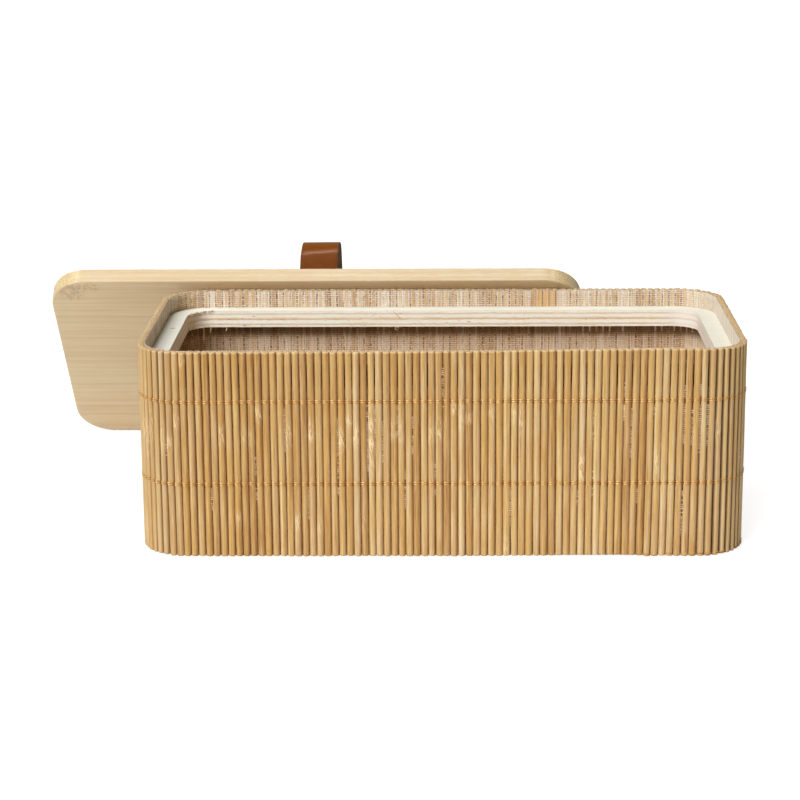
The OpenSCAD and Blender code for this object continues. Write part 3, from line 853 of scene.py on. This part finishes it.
def splinters():
    """Torn fibres at the ring's corner, hanging ones, and a splinter and loop on its face."""
    draw = np.random.default_rng(23)
    paths = []

    def lay(x, y, z, radius, pointed):
        paths.append((np.column_stack(np.broadcast_arrays(x, y, z)), radius, pointed))

    share = np.linspace(0.0, 1.0, 5)
    for _ in range(46):
        turn = math.radians(draw.uniform(92.0, 168.0))
        cos, sin = math.cos(turn), math.sin(turn)
        length, rise = draw.uniform(0.7, 2.2) * 0.6, draw.uniform(-0.3, 0.9)
        inward, sway = share * length, share**2 * draw.normal(0.0, 0.5)
        edge = RING_TOP - 0.15 - draw.choice([0.0, 0.0, RING_T - 0.4])
        lay(
            -107.3 + 11.5 * cos - inward * cos - sway * sin,
            42.3 + 11.5 * sin - inward * sin - sway * cos,
            edge + share * (1.4 - share) * rise, 0.17, 0.9,
        )
    share = np.linspace(0.0, 1.0, 9)
    for x, length, foot in ((-112.2, 10.5, 51.6), (-109.0, 3.0, 52.9), (-101.5, 2.2, 53.2)):
        sway = 0.15 * np.sin(5 * share) - 0.3 * share
        lay(x + sway, foot + 0.3 * share, RING_TOP - RING_T + 0.3 - length * share, 0.26, 0.7)
    share = np.linspace(0.0, 1.0, 7)
    lay(-23.1 + 3.7 * share, 53.6 - 0.25 * np.sin(math.pi * share), 81.6 - 3.7 * share, 0.2, 0.9)
    turn = np.linspace(0.0, 1.7 * math.pi, 14)
    lay(-21.3 + 0.8 * np.cos(turn), 53.5, 73.2 + 0.8 * np.sin(turn), 0.17, 0.5)
    return fibres("loose_splinters", paths, hair("splinter", (184, 146, 98), (242, 226, 196)), "plywood")


def remnant():
    """What is left of a third row of stitches: loose thread along the foot of the right end."""
    draw = np.random.default_rng(29)
    right_end = np.flatnonzero((front_x > 82.0) & is_front)
    paths = []
    for row, lower in ((0.95, False), (1.05, True)):
        for i in right_end[np.argsort(front_x[right_end])]:
            if draw.random() < 0.3:
                continue
            centres, _, _ = strand_points(row, lower, [i], 0.08)
            centres[:, 2] = np.maximum(centres[:, 2] - row_sag(i) + draw.normal(0.0, 0.1), 0.36)
            paths.append((centres, draw.uniform(0.16, 0.25), 0.6))
    frayed = hair("frayed_thread", (176, 120, 60), (226, 180, 116))
    return fibres("loose_thread", paths, frayed, "stitch_thread")


# ---- leather loop and screws

# The loop was screwed on a little to one side, and its near leg is twisted the same way
STRAP_SHIFT, STRAP_TWIST = -0.9, 0.7
# Its crown is drawn out, a little more on one side
CROWN_DROP, CROWN_RISE, CROWN_SKEW = 1.7, 0.35, 0.85


def strap(material):
    """The leather loop: one strip bent up from two turned-in feet, with softly rounded edges."""
    r, foot = LOOP_W / 2 - STRAP_T / 2, FOOT_R - STRAP_T / 2
    side, rise, top = r - foot, STRAP_T / 2, STRAP_H - LOOP_W / 2 - CROWN_DROP
    half = [(y, rise) for y in np.linspace(END_GAP / 2, side, 7)[:-1]]
    half += [
        (side + foot * math.sin(a), rise + foot - foot * math.cos(a))
        for a in np.linspace(0.0, math.pi / 2, 8)[:-1]
    ]
    half += [(r, z) for z in np.linspace(rise + foot, top, 12)[:-1]]
    crown = r + CROWN_DROP + CROWN_RISE
    half += [(r * math.cos(a), top + crown * math.sin(a)) for a in np.linspace(0.0, math.pi / 2, 22)]
    path = np.array(half + [(-y, z) for y, z in half[::-1][1:]])
    ahead = unit(np.gradient(path, axis=0))
    normal = np.stack([ahead[:, 1], -ahead[:, 0]], -1)
    # Section: width across X, thickness along the normal, with rounded long edges
    w, t, e = STRAP_W / 2, STRAP_T / 2, 0.55
    x0, y0 = w - e, t - e
    flat = np.linspace(-x0, x0, 9)
    bend = np.radians([22.5, 45.0, 67.5])
    section = [(x, t, 0.0) for x in flat]
    section += [(x0 + e * math.sin(a), y0 + e * math.cos(a), 1.0) for a in bend]
    section += [(w, y0, 1.0), (w, -y0, 1.0)]
    section += [(x0 + e * math.cos(a), -y0 - e * math.sin(a), 1.0) for a in bend]
    section += [(x, -t, 2.0) for x in flat[::-1]]
    section += [(-x0 - e * math.sin(a), -y0 - e * math.cos(a), 1.0) for a in bend]
    section += [(-w, -y0, 1.0), (-w, y0, 1.0)]
    section += [(-x0 - e * math.cos(a), y0 + e * math.sin(a), 1.0) for a in bend]
    section = np.array(section)
    rows, columns = len(path), len(section)
    rings, bend_of = [], []
    for (y, z), (out_y, out_z) in zip(path, normal):
        # The bend starts lower on the left of the strip than on the right
        skew = CROWN_SKEW * section[:, 0] / w * math.exp(-(((z - top - 3.0) / 6.0) ** 2))
        lean = STRAP_SHIFT + STRAP_TWIST * min(1.0, (STRAP_H - z) / 16.0) * y / r
        across, depth = section[:, 0] + lean, section[:, 1]
        rings.append(np.column_stack([across, y + out_y * depth, z + out_z * depth + skew + LID_T]))
        bend_of.append([np.clip((z - top) / (0.6 * crown), 0.0, 1.0)])
    rows, columns = len(path), len(section)
    shape = Shape()
    shape.tube(on_lid(np.array(rings)), edge=section[:, 2], bend=bend_of)
    shape.faces.append(tuple(range(columns))[::-1])
    shape.faces.append(tuple((rows - 1) * columns + k for k in range(columns)))
    return shape.make("leather_loop", material, "lid", "leather", "leather_strap")


def screws(material):
    """Two cross-head screws that hold the loop's feet."""
    angle = np.arange(48) / 48 * TURN
    cos, sin = np.cos(angle), np.sin(angle)
    foot, tip, head = SHANK_DEPTH + STRAP_T, SHANK_D / 2, HEAD_D / 2
    rings = []
    for r, z in ((tip / 2, 0.1), (tip, tip), (tip, foot), (head - 0.1, foot), (head, foot + 0.1)):
        rings.append(np.column_stack([r * cos, r * sin, np.full(len(angle), z)]))
    for share in np.linspace(1.0, 0.04, 14):
        x, y = head * share * cos, head * share * sin
        dome = foot + HEAD_T * (0.45 + 0.55 * math.sqrt(max(0.0, 1 - share**2)))
        slot = (np.minimum(np.abs(x), np.abs(y)) < 0.36) & (np.hypot(x, y) < 1.55)
        rings.append(np.column_stack([x, y, dome - 0.7 * slot]))
    rings = np.array(rings)
    tips = np.array([[0.0, 0.0, 0.1], [0.0, 0.0, rings[-1, -1, 2]]])
    shape = Shape()
    for side in (-1, 1):
        move = (0.0, side * (LOOP_W + END_GAP) / 4, LID_T - SHANK_DEPTH)
        shape.tube(on_lid(rings + move), on_lid(tips + move))
    return shape.make("brass_screws", material, "lid", "brass", "strap_screws")


# ---- build

bamboo = stick_bamboo()
for section in range(8):
    sticks(section, bamboo)
thread = stitch_thread()
stitching("upper_row_stitches", UPPER_ROW, thread, "upper_stitching")
stitching("lower_row_stitches", LOWER_ROW, thread, "lower_stitching")
lining(lining_gauze())
ladders()
splinters()
remnant()
strap(strap_leather())
screws(screw_brass())

for node, material, bevel in (
    ("ledge_ring", plywood(), 0.25),
    ("base_panel", base_wood(), 0.3),
    ("lid_board", lid_bamboo(), None),
):
    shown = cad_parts[node]
    shown.data.materials.clear()
    shown.data.materials.append(material)
    if bevel:
        rounding = shown.modifiers.new("edge", "BEVEL")
        rounding.width, rounding.segments, rounding.angle_limit = bevel * MM, 2, math.radians(50)

# ---- stage, light and camera

WHITE = (1.0, 1.0, 1.0, 1.0)
# How strongly the white world lights the box itself
WORLD_FILL = 0.15


def stage():
    """A white floor, and a world that is white to the camera and in reflections."""
    bpy.ops.mesh.primitive_plane_add(size=24.0, location=(0.0, 0.0, -0.0003))
    floor = bpy.context.object
    floor.name = "floor"
    m = Nodes("floor_white")
    plain = m.add("BsdfDiffuse", {"Color": (0.8, 0.8, 0.8, 1.0)})
    seen = m.add("BsdfDiffuse", {"Color": (0.35, 0.35, 0.35, 1.0)})
    # Far from the box, where less light falls, it glows fully
    x, y, _ = m.split(m.place())
    glow = m.span(m.math("SQRT", x * x + y * y), 700.0, 1500.0, 0.85, 1.0)
    shown = m.add("AddShader", {0: seen, 1: m.add("Emission", {"Color": WHITE, "Strength": glow})})
    camera_ray = m.add("LightPath", out="Is Camera Ray")
    m.add("OutputMaterial", {0: m.add("MixShader", {0: camera_ray, 1: plain, 2: shown})})
    floor.data.materials.append(m.owner)

    world = scene.world or bpy.data.worlds.new("studio")
    scene.world = world
    w = Nodes("studio", world)
    camera_ray, glossy, through = (
        w.add("LightPath", out="Is " + kind + " Ray") for kind in ("Camera", "Glossy", "Transmission")
    )
    high = w.split(w.add("TexCoord", out="Generated"))[2]
    mirrored = w.most(glossy, through) * w.span(high, 0.25, 0.6, 1.0, 0.0)
    fill, full = (
        w.add("Background", {"Color": WHITE, "Strength": strength}) for strength in (WORLD_FILL, 1.0)
    )
    shown = w.add("MixShader", {0: w.most(camera_ray, mirrored), 1: fill, 2: full})
    w.add("OutputWorld", {0: shown})


def lamp(name, spot, size, power):
    """A rectangular area lamp at spot, aimed at the box, in metres and watts."""
    data = bpy.data.lights.new(name, "AREA")
    data.shape, (data.size, data.size_y), data.energy = "RECTANGLE", size, power
    made = bpy.data.objects.new(name, data)
    scene.collection.objects.link(made)
    made.location = spot
    made.rotation_mode = "QUATERNION"
    made.rotation_quaternion = (Vector((0.0, 0.0, 0.05)) - Vector(spot)).to_track_quat("-Z", "Y")


def camera():
    """The photograph's viewpoint: place in metres, and pitch, turn and roll in degrees."""
    spot = Vector((0.00418, -0.98558, 0.30841))
    down, turn, roll = (math.radians(a) for a in (14.5624, -1.3432, -0.4523))
    ahead = Vector((math.sin(turn) * math.cos(down), math.cos(turn) * math.cos(down), -math.sin(down)))
    right = Vector((math.cos(turn), -math.sin(turn), 0.0))
    up = right.cross(ahead)
    cos, sin = math.cos(roll), math.sin(roll)
    right, up = right * cos + up * sin, up * cos - right * sin
    data = bpy.data.cameras.new("camera")
    data.sensor_width = 36.0
    # Its focal length is 2263.93 pixels of the photograph's 800
    data.lens = 2263.93 / 800 * data.sensor_width
    data.clip_start, data.clip_end = 0.05, 60.0
    made = bpy.data.objects.new("camera", data)
    scene.collection.objects.link(made)
    made.matrix_world = Matrix.Translation(spot) @ Matrix((right, up, -ahead)).transposed().to_4x4()
    scene.camera = made


stage()
lamp("top", (-0.2, 0.7, 2.95), (1.0, 0.2), 27.0)
lamp("key", (-1.87, -2.8, 2.83), (2.6, 2.6), 216.0)
camera()
bpy.context.scene.view_settings.view_transform = "Standard"
